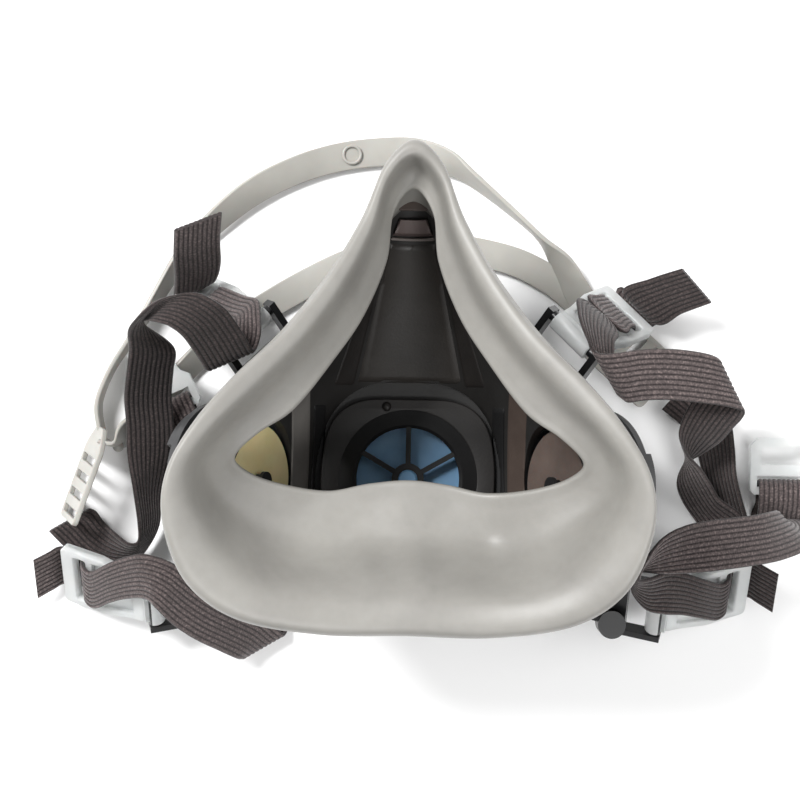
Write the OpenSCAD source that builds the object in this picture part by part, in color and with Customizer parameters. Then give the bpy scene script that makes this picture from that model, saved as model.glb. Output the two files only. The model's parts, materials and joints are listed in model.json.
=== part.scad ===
// Half-mask respirator without filters, lying face down on its exhalation cover.
// +Z points from the table to the wearer's face, +Y to the nose, X across the face.
// The origin is on the exhalation valve's axis, on the front face of its cover.

/* [Face seal] */
// Thickness of the elastomer wall
seal_wall = 2; // [1.6:0.1:2.6]
// Points around each ring of the seal, two for every shaping point
seal_points = 48; // [24:24:48]

/* [Facepiece body] */
// Thickness of the moulded wall
body_wall = 2.2; // [1.8:0.1:2.6]
// Height of the front plate above the table
front_z = 9; // [8.8:0.1:9.4]

/* [Exhalation valve] */
// Radius of the opening
exhale_r = 13.4; // [12:0.1:13.6]
// Radius of the moving disc
exhale_disc_r = 15; // [14.4:0.1:15.4]
// Outer radius of the valve seat
seat_r = 17.5; // [17:0.1:17.6]
// Number of spokes under the disc
seat_spokes = 6; // [3:1:8]
// Outer radius of the front cover
cover_r = 22.5; // [21:0.5:22.5]

/* [Inhalation ports] */
// Distance of each inhalation disc from the centre plane
port_x = 38; // [37:0.5:39]
// Height of each inhalation disc above the table
port_z = 35; // [34:0.5:36]
// Angle of the port axis away from straight down
port_tilt = 60; // [56:1:64]
// Inner radius of the tube moulded in the body
port_tube_r = 15.2; // [15:0.1:15.6]
// Bore of the bayonet fitting
port_bore_r = 12; // [11:0.5:12.5]
// Radius of the inhalation disc
inhale_disc_r = 14; // [13:0.1:14.4]

/* [Yoke] */
// Radius of each hinge bar
bar_r = 1.5; // [1.3:0.1:1.6]
// Half the free length of a hinge bar
bar_half = 7.4; // [7:0.1:8]

/* [Buckles] */
// Distance from the hinge bar to the thumb lip's edge
buckle_l = 27; // [26:0.5:28]
// Width at the thumb lip
buckle_w = 18; // [17:0.5:18]
// Width beside the hinge
buckle_hinge_w = 13.2; // [12:0.1:13.4]
// Thickness of the plate
buckle_t = 2.2; // [1.8:0.1:2.4]
// Radial clearance of the hook on its bar
hook_gap = 0.06; // [0.02:0.01:0.1]

/* [Straps and cradle] */
// Width of the elastic webbing
strap_w = 12.7; // [12:0.1:13]
// Thickness of the elastic webbing
strap_t = 1.2; // [1:0.1:1.4]
// Width of a cradle band
band_w = 7.6; // [7:0.1:8]
// Thickness of a cradle band
band_t = 1.2; // [1:0.1:1.6]

/* [Hidden] */
$fn = 64;

// Half outlines from the nose round to the chin, on the +X side
rim_curve = [
    [0, 81.4, 60], [6, 75.5, 60], [11.5, 63, 62], [19.5, 49.5, 66], [29, 36.5, 71], [39.6, 26.2, 75],
    [48.5, 15.5, 79], [54.5, 4, 81.5], [55.2, -8, 81.5], [50, -21.5, 79], [38.5, -30.2, 75], [20, -33.8, 71],
    [0, -33.8, 70]
];
lip_curve = [
    [0, 71.6, 50], [4, 64.2, 50], [6.4, 52.8, 51], [11.5, 41, 53], [18.5, 30, 57], [27.4, 18.5, 62],
    [35.7, 12.5, 65], [41.2, 6.2, 64], [37.5, 1.9, 60], [28, -1.2, 55], [19, -2.3, 50.5], [9.5, -0.5, 48],
    [0, 0.4, 48]
];
wall_curve = [
    [0, 77.5, 49], [7, 72.5, 49], [13, 61.5, 50], [20.5, 49.5, 53], [29.5, 37.5, 57], [38.5, 27, 60],
    [46, 16.5, 64], [51.5, 4.5, 67], [52, -8, 66], [47.5, -20.5, 63], [36.5, -29, 59], [19.5, -33, 56],
    [0, -33.5, 55]
];
joint_curve = [
    [0, 70, 38], [6.5, 66, 38], [12, 57, 38.5], [18.5, 46.5, 40], [26, 36, 42], [33.5, 26, 45],
    [40, 16, 48], [44.5, 5, 50], [45, -6, 49], [41, -17, 45], [31.5, -25.5, 40], [17, -29.5, 37],
    [0, -30.5, 36]
];
front_curve = [
    [0, 22, 0], [6, 22, 0], [12, 21.5, 0], [17, 19.5, 0], [20.5, 16, 0], [22.5, 11.5, 0],
    [23.5, 6, 0], [23.8, 1, 0], [23.5, -5, 0], [21.5, -12, 0], [16.5, -18, 0], [9, -21, 0],
    [0, -22, 0]
];
// Depth of the hollow between rim and lip at each shaping point
lip_sag = [3, 2.5, 2, 2, 2, 2.5, 4, 6, 7, 7, 7, 8, 8];
bead = 2.5;      // how far the rounded bead stands in from the rim

function mix(a, b, t) = a + (b - a) * t;
function flat(p) = [p[0], p[1], 0];
function unit(v) = v / norm(v);
// A point of the smooth curve through four points, between the middle two
function spline(a, b, c, d, t) =
    0.5 * (2 * b + (c - a) * t + (2 * a - 5 * b + 4 * c - d) * t * t + (3 * b - a - 3 * c + d) * t * t * t);
// Both halves of a mirrored outline, as one closed list
function both_sides(half) =
    let (last = len(half) - 1)
    concat(half, [for (k = [last - 1 : -1 : 1]) [-half[k][0], half[k][1], half[k][2]]]);
// A closed ring of smooth points
function ring(half, count = seal_points) =
    let (all = both_sides(half), m = len(all))
    [for (i = [0 : count - 1])
        let (u = i * m / count, k = floor(u))
        spline(all[(k + m - 1) % m], all[k], all[(k + 1) % m], all[(k + 2) % m], u - k)];
function raised(points, dz) = [for (p = points) p + [0, 0, dz]];
// The same smooth curve through an open list of points, each a list of numbers
function smooth(list, steps) =
    let (last = len(list) - 1)
    concat([for (k = [0 : last - 1], s = [0 : steps - 1])
        spline(list[max(k - 1, 0)], list[k], list[k + 1], list[min(k + 2, last)], s / steps)], [list[last]]);

// Rows of rings, moved in along their own normals by a distance
function inner_rings(rings, depth) =
    let (rows = len(rings), n = len(rings[0]))
    [for (j = [0 : rows - 1]) [for (i = [0 : n - 1])
        let (along = rings[min(j + 1, rows - 1)][i] - rings[max(j - 1, 0)][i],
             around = rings[j][(i + 1) % n] - rings[j][(i + n - 1) % n])
        rings[j][i] + depth * unit(cross(around, along))]];

// A closed skin over rings that follow one another, the last joined to the first
module loop_skin(rings) {
    rows = len(rings);
    n = len(rings[0]);
    polyhedron(
        points = [for (r = rings) each r],
        faces = [for (j = [0 : rows - 1], i = [0 : n - 1])
            let (a = j * n + i, b = j * n + (i + 1) % n, c = (j + 1) % rows * n + (i + 1) % n,
                 d = (j + 1) % rows * n + i)
            each [[a, b, c], [a, c, d]]]);
}

// A closed skin over rings, with its first and last ring capped from their middles
module capped_skin(rings) {
    rows = len(rings);
    n = len(rings[0]);
    ones = [for (i = [1 : n]) 1];
    low = ones * rings[0] / n;
    high = ones * rings[rows - 1] / n;
    polyhedron(
        points = concat([for (r = rings) each r], [low, high]),
        faces = concat(
            [for (j = [0 : rows - 2], i = [0 : n - 1])
                let (a = j * n + i, b = j * n + (i + 1) % n) each [[a, b, b + n], [a, b + n, a + n]]],
            [for (i = [0 : n - 1]) [(i + 1) % n, i, rows * n]],
            [for (i = [0 : n - 1]) [(rows - 1) * n + i, (rows - 1) * n + (i + 1) % n, rows * n + 1]]));
}

// A flat ribbon through stations of [x, y, z, width direction], smoothed between them
module ribbon(stations, width, thick, steps = 2) {
    path = smooth(stations, steps);
    last = len(path) - 1;
    centre = [for (p = path) [p[0], p[1], p[2]]];
    across = [for (p = path) [p[3], p[4], p[5]] * width / 2];
    normal = [for (i = [0 : last])
        unit(cross(centre[min(i + 1, last)] - centre[max(i - 1, 0)], across[i])) * thick / 2];
    rings = [for (i = [0 : last]) [
        centre[i] - across[i] - normal[i], centre[i] - across[i] + normal[i],
        centre[i] + across[i] + normal[i], centre[i] + across[i] - normal[i]]];
    capped_skin(rings);
}

// Hinge bars: place, turn about Z, rise of the inner end, then how far the buckle leans down
upper_bar = [[-41.2, 38, 25], 45, -18, -52];
lower_bar = [[-65, -32.6, 16.5], 90, 35, -25.4];
yoke_lean_upper = 33;
yoke_lean_lower = 17;

function turned_x(p, a) = [p[0], p[1] * cos(a) - p[2] * sin(a), p[1] * sin(a) + p[2] * cos(a)];
function turned_y(p, a) = [p[0] * cos(a) + p[2] * sin(a), p[1], p[2] * cos(a) - p[0] * sin(a)];
function turned_z(p, a) = [p[0] * cos(a) - p[1] * sin(a), p[0] * sin(a) + p[1] * cos(a), p[2]];
function bar_turn(bar, p) = turned_z(turned_y(turned_x(p, bar[3]), -bar[2]), bar[1]);
module at_bar(bar, lean) {
    translate(bar[0])
        rotate([0, 0, bar[1]])
            rotate([0, -bar[2], 0])
                rotate([lean, 0, 0])
                    children();
}

// Reach and height of the webbing as it runs under the lip, up through the slot and on over the plate
slot_path = [[30.4, 1.9], [29.3, -1.2], [25.5, -2.5], [22.9, -2.3], [21.3, 0], [19.4, 2.5], [16.3, 3.3]];
plate_path = [[11, 3.3], [5.5, 3.6], [0, 4.2]];
function on_buckle(bar, path) = [for (p = path)
    concat(bar[0] + bar_turn(bar, [0, p[0], p[1]]), bar_turn(bar, [1, 0, 0]))];
function mirrored(stations, side = -1) = [for (s = stations) [-s[0], s[1], s[2], side * s[3], -side * s[4], -side * s[5]]];

// Place of each clasp's strap end, with its turn about Z
hook_clasp = [[-61.9, 15.7, 7.6], 25.5];
loop_clasp = [[99.2, -2.6, 2], 0];
// Reach and height of the webbing as it turns round a clasp's bar
clasp_path = [[-7, -1.6], [-2, -1], [1.5, -.95], [3.3, .1], [3.5, 2], [2.2, 3.5], [-1.5, 3.7], [-4, 2.6],
    [-6, 1.2]];
function on_clasp(clasp) = [for (p = clasp_path)
    concat(clasp[0] + turned_z([0, p[0], p[1]], clasp[1]), turned_z([1, 0, 0], clasp[1]))];

// Webbing stations: centre, then the direction across the webbing
upper_left_route = concat(
    [[-53.5, 64, 33, .93, .37, 0], [-54.5, 58, 26, .92, .4, 0], [-55.2, 52.5, 17, .93, .37, 0],
     [-57, 48, 9, .85, .5, -.1]],
    on_buckle(upper_bar, concat(slot_path, plate_path)),
    [[-42.6, 37.6, 30.6, .75, .62, -.22], [-42.9, 33.8, 32.2, .87, .49, -.05],
     [-43.9, 30.6, 33, .91, .41, 0], [-44.8, 29.7, 34.4, .91, .41, 0], [-46, 31.6, 36.4, .91, .41, 0],
     [-48, 35, 39, .89, .46, 0], [-50.5, 38.5, 42, .87, .49, 0], [-53.6, 40.8, 44.2, .87, .5, .05],
     [-57, 42, 44.8, .8, .57, .2], [-60.5, 42, 43.6, .7, .5, .5], [-64, 41, 41, .45, .4, .8],
     [-66.4, 38.8, 37.4, .05, .14, .98], [-65.8, 35.8, 33, -.6, .1, .79], [-64.8, 32, 29, -.85, 0, .52],
     [-65.8, 27, 25, -.86, 0, .5], [-67, 20, 19.5, -.9, 0, .42], [-66.9, 12.5, 15, -.93, .07, .35],
     [-67.3, 5, 11.5, -.85, -.05, .5], [-68.2, -4.5, 9, -.45, .1, .88], [-67.8, -13, 7.9, -.3, .1, .94],
     [-69.5, -19, 7.6, 0, .25, .96], [-73, -21.2, 6.8, .1, .5, .85], [-78, -20.8, 5.4, .2, .85, .45],
     [-83, -18.6, 4, .45, .88, .1], [-87.2, -14.6, 3.4, .75, .66, 0], [-89.4, -12.8, 4, .85, .5, .1]]);
lower_left_route = concat(
    [[-97.3, -28.4, 7.5, 0, .84, .54]],
    on_buckle(lower_bar, slot_path),
    [[-76, -27.8, 18.6, 0, .84, .54], [-71, -26, 22.6, 0, .88, .47], [-66, -25.3, 25.8, 0, .93, .36],
     [-61.2, -27.4, 26.2, .3, .94, .1], [-56.2, -32, 23, .5, .86, 0], [-51, -36, 19.4, .48, .88, 0],
     [-45.5, -39.4, 14.6, .45, .89, 0], [-40.8, -42.4, 9.4, .55, .84, 0], [-38.2, -44.7, 5.6, .8, .6, 0],
     [-37.3, -45.1, 3.8, .87, .49, 0], [-37.2, -43.2, 2.3, .95, .3, 0], [-37.2, -39.5, 1.5, 1, .1, 0],
     [-37.6, -33, 1.4, 1, .04, 0], [-38.8, -25, 1.4, .98, .2, 0], [-42, -15.5, 1.4, .93, .36, 0],
     [-46.8, -5.5, 1.6, .88, .47, 0]],
    on_clasp(hook_clasp));
upper_right_route = concat(
    [[73.5, 51.5, 17, -.66, .66, .3], [66.5, 49, 13, -.7, .68, .2], [60, 46, 8, -.72, .66, .1]],
    mirrored(on_buckle(upper_bar, concat(slot_path, [[12, 3.4]])), 1),
    [[47.9, 43.2, 21.8, -.7, .66, -.28], [46.6, 39.8, 27.4, -.72, .66, -.18], [46.9, 34.6, 31.4, -.64, .76, -.05],
     [48.2, 29.6, 32.2, -.56, .88, 0], [50, 27.4, 33.4, -.5, .9, 0], [53, 27.2, 34.6, -.25, .97, 0],
     [58, 28, 34.8, -.05, 1, 0], [65, 28.2, 34.6, 0, 1, 0], [72, 27.6, 34.4, -.08, 1, 0],
     [77, 26.8, 34, -.25, .98, 0], [79.9, 25.6, 32.9, -.5, .98, 0], [79.4, 23.2, 31, -.62, .85, 0],
     [77, 19.4, 28, -.78, .62, .1], [74.6, 14.8, 23.4, -.8, .5, .3], [72.6, 10.6, 18.6, -.62, .35, .7],
     [72.2, 6.8, 14, -.15, .2, .96], [73.4, 2.4, 10.6, .35, .3, .88], [76, -2.4, 8.2, .45, .4, .8],
     [79.6, -7.4, 7.2, .3, .6, .74], [83, -10.4, 6.6, .5, .6, .62], [85, -8.8, 6.4, .62, -.1, .77],
     [83.6, -3.4, 6.4, .6, -.1, .78], [82, 3, 6.4, .58, -.05, .8], [81, 9.5, 5.8, .66, .1, .74],
     [79.4, 15.6, 4.4, .8, .35, .4], [76, 20.4, 2.8, .8, .6, .1], [71.4, 24.2, 2.4, .66, .75, 0]]);
lower_right_route = concat(
    [[97.3, -28.4, 7.5, 0, .84, .54]],
    mirrored(on_buckle(lower_bar, slot_path), -1),
    [[76, -29, 18.2, 0, .84, .54], [71, -27.6, 21.8, 0, .88, .47], [66, -27, 24.8, 0, .9, .44],
     [61, -27, 27, 0, .7, .7], [57.6, -24.6, 29, 0, .3, .95], [58.8, -20, 31.5, 0, .3, .95],
     [63, -17, 32.8, 0, .75, .66], [68.5, -15.4, 32.8, 0, .95, .3], [75.5, -14.4, 31.5, -.05, 1, 0],
     [88, -13, 27, -.1, .99, 0], [94.5, -12, 22.5, -.3, .95, 0], [99.4, -11, 16.5, -.65, .76, 0],
     [101.6, -10.4, 9, -.9, .35, 0], [100.6, -9.4, 3.6, -1, .05, 0]],
    on_clasp(loop_clasp));

// Cradle band stations
upper_band_route = [
    [-81, 10, 4, 0, 0, 1], [-82.2, 18, 4, 0, 0, 1], [-79, 27, 4, 0, 0, 1], [-73.5, 36, 4, -.05, .05, 1],
    [-67, 47, 4, -.2, .15, .97], [-60, 58.3, 4, -.35, .3, .89], [-51.5, 67.6, 3.6, -.5, .5, .7],
    [-42, 75.4, 3, -.5, .7, .5], [-31.5, 81, 2.1, -.35, .87, .3], [-21, 84.6, 1.3, -.2, .97, .1],
    [-10, 86.4, .9, -.08, 1, 0], [.5, 86.6, 1.2, .12, .99, .1], [8.8, 84, 2.8, .3, .75, .5],
    [15.8, 79.4, 3.9, .15, .25, .95], [27.5, 70, 4, .03, .03, 1], [34.5, 63.6, 4, .03, .03, 1],
    [40, 57, 3.1, .5, .5, .7], [45, 49, 1.1, .76, .65, 0], [50.5, 40.8, .8, .72, .69, 0]];
second_band_route = [
    [-80.6, 8.5, 4.2, 0, 0, 1], [-76.5, 7.2, 4, 0, .1, .99], [-71.5, 11.5, 3.9, -.45, .3, .84],
    [-65, 20.6, 3.5, -.5, .42, .75], [-58, 29, 3.1, -.55, .45, .68], [-51.5, 35.2, 2.2, -.55, .65, .35],
    [-42.5, 42, 1.4, -.55, .8, .15], [-29, 50.5, .9, -.5, .87, 0], [-15.5, 57.2, .8, -.35, .94, 0],
    [-2.5, 60.5, .8, -.12, .99, 0], [11, 61.2, .8, .08, 1, 0], [25.5, 58.6, .8, .25, .97, 0],
    [35, 54.5, .8, .45, .9, 0], [41.5, 50, .8, .65, .76, 0], [47.5, 44.5, .7, .68, .73, 0]];

// The soft flange runs from the joint up to the rim, over the bead and down to its free edge
seal_rings = [
    ring(joint_curve),
    ring(wall_curve),
    raised(ring(rim_curve), -1.6),
    [for (i = [0 : seal_points - 1])
        let (r = ring(rim_curve)[i], l = ring(lip_curve)[i]) r + unit(flat(l - r)) * bead + [0, 0, .6]],
    flange_ring(.36, 1),
    flange_ring(.68, .8),
    ring(lip_curve)
];
function flange_ring(t, part) =
    ring([for (k = [0 : len(rim_curve) - 1]) mix(rim_curve[k], lip_curve[k], t) - [0, 0, part * lip_sag[k]]]);

module face_seal() {
    inside = inner_rings(seal_rings, seal_wall);
    color("#bab7b0")
        loop_skin(concat(seal_rings, [for (j = [len(inside) - 1 : -1 : 0]) inside[j]]));
}

// The hard shell: front plate, sloping walls, a tube for each port and a hole for the valve seat
middle_curve = [for (k = [0 : len(joint_curve) - 1])
    let (f = front_curve[k] + [0, 0, front_z]) mix(f, joint_curve[k], .5) + 1.5 * unit(flat(f)) - [0, 0, 1]];
body_rings = [
    raised(ring(front_curve), front_z),
    ring(middle_curve),
    raised(ring(joint_curve), -.4)
];
body_hollow = let (inside = inner_rings(body_rings, body_wall)) [
    [for (p = ring(front_curve)) p * .9 + [0, 0, front_z + body_wall]],
    inside[1],
    inside[2],
    raised(inside[2], 8)
];
tube_out = 11;       // how far a tube stands out past the disc
seat_gap = .1;       // clearance of the valve seat in its hole

module at_port(side) {
    translate([side * port_x, 0, port_z])
        rotate([0, side * (180 - port_tilt), 0])
            children();
}

module facepiece_body() {
    color("#2b2b2b")
        difference() {
            union() {
                capped_skin(body_rings);
                for (side = [-1, 1])
                    at_port(side)
                        translate([0, 0, -1])
                            cylinder(h = tube_out + 1, r = port_tube_r + 2.3);
            }
            capped_skin(body_hollow);
            for (side = [-1, 1])
                at_port(side)
                    translate([0, 0, -12])
                        cylinder(h = tube_out + 13, r = port_tube_r);
            translate([0, 0, front_z - 1])
                cylinder(h = 6, r = seat_r + seat_gap);
        }
}

hub_r = 4.2;         // outside of the ring at the middle of the seat
stem_r = 2.5;        // stem that guides a valve disc
stem_gap = .08;

module exhalation_seat() {
    color("#1d1d1f")
        union() {
            rotate_extrude($fn = 96)
                polygon([[exhale_r, 10], [exhale_r + 1, 10], [seat_r, 9.6], [seat_r, 11.5], [seat_r + 2, 11.5],
                    [seat_r + 2, 12.7], [seat_r - .6, 13.6], [exhale_r + .8, 14.6], [exhale_r, 14]]);
            difference() {
                translate([0, 0, 12.6])
                    cylinder(h = 1.8, r = hub_r);
                translate([0, 0, 12])
                    cylinder(h = 3, r = stem_r + stem_gap);
            }
            for (i = [0 : seat_spokes - 1])
                rotate([0, 0, 30 + i * 360 / seat_spokes])
                    translate([hub_r - .5, -.65, 12.6])
                        cube([exhale_r - hub_r + .9, 1.3, 1.6]);
        }
}

module exhalation_valve() {
    color("#7093bb")
        rotate_extrude($fn = 96)
            polygon([[0, 8.6], [3, 8.6], [exhale_disc_r, 9.1], [exhale_disc_r, 9.6], [4, 9.7], [stem_r, 10.2],
                [stem_r, 14], [stem_r - .5, 14.5], [0, 14.5]]);
}

cover_top = 8.7;
vents = 5;

module exhalation_cover() {
    color("#232426")
        difference() {
            rotate_extrude($fn = 96)
                polygon([[0, 0], [cover_r - 3, 0], [cover_r - 1, .8], [cover_r, 3], [cover_r, cover_top],
                    [cover_r - 1.6, cover_top], [cover_r - 1.6, 3.4], [cover_r - 3.2, 1.8], [0, 1.8]]);
            for (i = [0 : vents - 1])
                rotate([0, 0, -90 + (i - (vents - 1) / 2) * 19])
                    translate([cover_r - 4, -2.1, 3.6])
                        cube([6, 4.2, 3.2]);
        }
}

yoke_ring_r = 28.5;
yoke_top = 8.6;
yoke_low = 4;

// The loop at an arm's end: hinge bar, two prongs and the beam behind them
module bar_loop(bar, lean) {
    at_bar(bar, lean) {
        translate([-bar_half - 1.8, 0, 0])
            rotate([0, 90, 0])
                cylinder(h = 2 * bar_half + 3.6, r = bar_r);
        for (side = [-1, 1])
            translate([side * (bar_half + .9) - .9, -8.5, -1.7])
                cube([1.8, 10, 3.4]);
        translate([-bar_half - 1.8, -11, -1.7])
            cube([2 * bar_half + 3.6, 3.2, 3.4]);
    }
}

// One tapering arm from the beam behind a hinge bar in to the ring
module yoke_arm(bar, lean, reach, root_half) {
    at_bar(bar, lean)
        translate([0, 0, -1.7])
            linear_extrude(3.4)
                polygon([[-7, -9], [7, -9], [root_half, -reach], [-root_half, -reach]]);
}

module front_yoke() {
    color("#101113")
        union() {
            difference() {
                translate([0, 0, yoke_low])
                    cylinder(h = yoke_top - yoke_low, r = yoke_ring_r, $fn = 96);
                translate([0, 0, 1])
                    cylinder(h = 10, r = cover_r + .5, $fn = 96);
            }
            for (side = [0, 1])
                mirror([side, 0, 0]) {
                    bar_loop(upper_bar, yoke_lean_upper);
                    bar_loop(lower_bar, yoke_lean_lower);
                    difference() {
                        union() {
                            yoke_arm(upper_bar, yoke_lean_upper, 37, 5);
                            yoke_arm(lower_bar, yoke_lean_lower, 51, 3);
                        }
                        translate([0, 0, 1])
                            cylinder(h = 10, r = cover_r + .5, $fn = 96);
                    }
                    translate([-53.4, -36.4, 9])
                        cylinder(h = 7.5, r = 3.6);
                }
        }
}

// Along a port, from its disc outwards
seat_from = .3;
seat_deep = 2;
seat_step = .8;      // how far the seat stands in from the fitting's bore
fitting_from = 2.6;
flange_at = 11.4;
neck_end = 16;

module inhalation_seat(side) {
    color("#2a2a2c")
        at_port(side) {
            difference() {
                translate([0, 0, seat_from])
                    cylinder(h = seat_deep, r = port_tube_r - .1);
                translate([0, 0, seat_from - 1])
                    cylinder(h = seat_deep + 2, r = port_bore_r - seat_step);
            }
            for (i = [0 : 3])
                rotate([0, 0, 45 + i * 90])
                    translate([1, -.7, seat_from + .1])
                        cube([port_bore_r, 1.4, seat_deep - .2]);
            translate([0, 0, -2.7])
                cylinder(h = seat_from + 4.5, r = 1.5);
            translate([0, 0, -3.6])
                cylinder(h = 1, r = 2.3);
        }
}

module inhalation_valve(side) {
    color("#cbbf8c")
        at_port(side)
            rotate_extrude($fn = 96)
                polygon([[1.6, -.9], [3.4, -.9], [inhale_disc_r, -.7], [inhale_disc_r, -.1], [1.6, -.1]]);
}

module bayonet(side) {
    color("#333436")
        at_port(side)
            difference() {
                union() {
                    translate([0, 0, fitting_from])
                        cylinder(h = neck_end - fitting_from, r = port_tube_r - .1);
                    translate([0, 0, flange_at])
                        cylinder(h = 1.6, r = 19);
                    for (i = [0 : 2])
                        rotate([0, 0, 30 + i * 120])
                            rotate_extrude(angle = 40)
                                translate([port_tube_r - .6, neck_end - 1.6])
                                    square([2.6, 1.6]);
                }
                translate([0, 0, fitting_from - 1])
                    cylinder(h = neck_end - fitting_from + 2, r = port_bore_r);
            }
}

module port_gasket(side) {
    color("#3c3c3c")
        at_port(side)
            rotate_extrude($fn = 96)
                polygon([[port_tube_r + .1, flange_at + 1.6], [port_tube_r + 2.8, flange_at + 1.6],
                    [port_tube_r + 2.5, flange_at + 2.5], [port_tube_r + .5, flange_at + 2.5]]);
}

slot_from = 19.4;
slot_to = 23.2;
rim_up = .7;         // how far the side rims stand over the plate

// One buckle lying along +Y, with its hinge bar's axis on X
module buckle(bar) {
    color("#e4eaea")
        at_bar(bar, bar[3])
            difference() {
                union() {
                    translate([0, 0, -buckle_t / 2])
                        linear_extrude(buckle_t)
                            buckle_outline();
                    translate([0, 0, -buckle_t / 2])
                        linear_extrude(buckle_t + rim_up)
                            difference() {
                                buckle_outline();
                                polygon([[-buckle_hinge_w / 2 + 1.6, 5], [buckle_hinge_w / 2 - 1.6, 5],
                                    [buckle_w / 2 - 1.7, 15], [buckle_w / 2 - 1.7, slot_to],
                                    [-buckle_w / 2 + 1.7, slot_to], [-buckle_w / 2 + 1.7, 15]]);
                            }
                    translate([-buckle_hinge_w / 2 + .6, 0, 0])
                        rotate([0, 90, 0])
                            cylinder(h = buckle_hinge_w - 1.2, r = bar_r + 1.3);
                }
                translate([-buckle_w, 0, 0])
                    rotate([0, 90, 0])
                        cylinder(h = 2 * buckle_w, r = bar_r + hook_gap);
                translate([-buckle_w, -4, .5])
                    cube([2 * buckle_w, 4.2, 4]);
                translate([-strap_w / 2 - .7, slot_from, -3])
                    cube([strap_w + 1.4, slot_to - slot_from, 6]);
            }
}

module buckle_outline() {
    polygon([[-buckle_hinge_w / 2, 1.9], [buckle_hinge_w / 2, 1.9], [buckle_hinge_w / 2 + .4, 6],
        [buckle_w / 2, 15], [buckle_w / 2, buckle_l - 1.5], [buckle_w / 2 - 1.5, buckle_l],
        [1.5 - buckle_w / 2, buckle_l], [-buckle_w / 2, buckle_l - 1.5], [-buckle_w / 2, 15],
        [-buckle_hinge_w / 2 - .4, 6]]);
}

tab_l = 23;
tab_w = 16.4;
tab_slots = 4;

// A slotted tab lying along +X from its band end
module cradle_tab() {
    translate([0, 0, -.7])
        linear_extrude(1.4)
            difference() {
                polygon([[-3, -3.6], [1, -tab_w / 2 + 1], [3, -tab_w / 2], [tab_l - 2, -tab_w / 2],
                    [tab_l, -tab_w / 2 + 2], [tab_l, tab_w / 2 - 2], [tab_l - 2, tab_w / 2], [3, tab_w / 2],
                    [1, tab_w / 2 - 1], [-3, 3.6]]);
                for (i = [0 : tab_slots - 1])
                    translate([5 + i * 4.8, -strap_w / 2 - .4])
                        square([2, strap_w + .8]);
            }
}

module head_cradle() {
    color("#d5d3cc")
        union() {
            ribbon(upper_band_route, band_w, band_t);
            ribbon(second_band_route, band_w, band_t);
            translate([-81.4, 9, 8.1])
                rotate([0, 0, -109])
                    rotate([67, 0, 0])
                        cradle_tab();
            translate([50, 40.8, .75])
                rotate([0, 0, -42])
                    cradle_tab();
            translate([-16.4, 85.6, 1])
                cylinder(h = 1.3, r = 2.6);
        }
}

module webbing(route) {
    color("#554b4b")
        ribbon(route, strap_w, strap_t);
}

clasp_w = 17;

// A flat clasp lying along +Y, its webbing bar across X
module clasp_frame(length) {
    difference() {
        linear_extrude(2.6)
            polygon([[-clasp_w / 2, 1], [1 - clasp_w / 2, 0], [clasp_w / 2 - 1, 0], [clasp_w / 2, 1],
                [clasp_w / 2, length - 2], [clasp_w / 2 - 2, length], [2 - clasp_w / 2, length],
                [-clasp_w / 2, length - 2]]);
        translate([-strap_w / 2 - .4, 2, -1])
            cube([strap_w + .8, 3, 5]);
    }
}

module neck_clasp_hook() {
    color("#dfe3e4")
        translate(hook_clasp[0])
            rotate([0, 0, hook_clasp[1]])
                union() {
                    clasp_frame(10);
                    linear_extrude(2.6)
                        polygon([[-7, 9], [7, 9], [4.6, 16], [-4.6, 16]]);
                    translate([-4.6, 15, 0])
                        cube([9.2, 4, 1.6]);
                }
}

module neck_clasp_loop() {
    color("#dfe3e4")
        translate(loop_clasp[0])
            difference() {
                clasp_frame(15);
                translate([-5.6, 8, -1])
                    cube([11.2, 4.6, 5]);
            }
}

face_seal();
facepiece_body();
exhalation_seat();
exhalation_valve();
exhalation_cover();
front_yoke();
bayonet(-1);  // bayonet_left
bayonet(1);  // bayonet_right
inhalation_seat(-1);  // inhalation_seat_left
inhalation_seat(1);  // inhalation_seat_right
inhalation_valve(-1);  // inhalation_valve_left
inhalation_valve(1);  // inhalation_valve_right
port_gasket(-1);  // port_gasket_left
port_gasket(1);  // port_gasket_right
buckle(upper_bar);  // buckle_upper_left
mirror([1, 0, 0]) buckle(upper_bar);  // buckle_upper_right
buckle(lower_bar);  // buckle_lower_left
mirror([1, 0, 0]) buckle(lower_bar);  // buckle_lower_right
head_cradle();
webbing(upper_left_route);  // upper_strap_left
webbing(upper_right_route);  // upper_strap_right
webbing(lower_left_route);  // lower_strap_left
webbing(lower_right_route);  // lower_strap_right
neck_clasp_hook();
neck_clasp_loop();
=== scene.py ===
import json
import math

import bmesh
import bpy
from mathutils import Matrix, Vector
from mathutils.bvhtree import BVHTree

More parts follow.
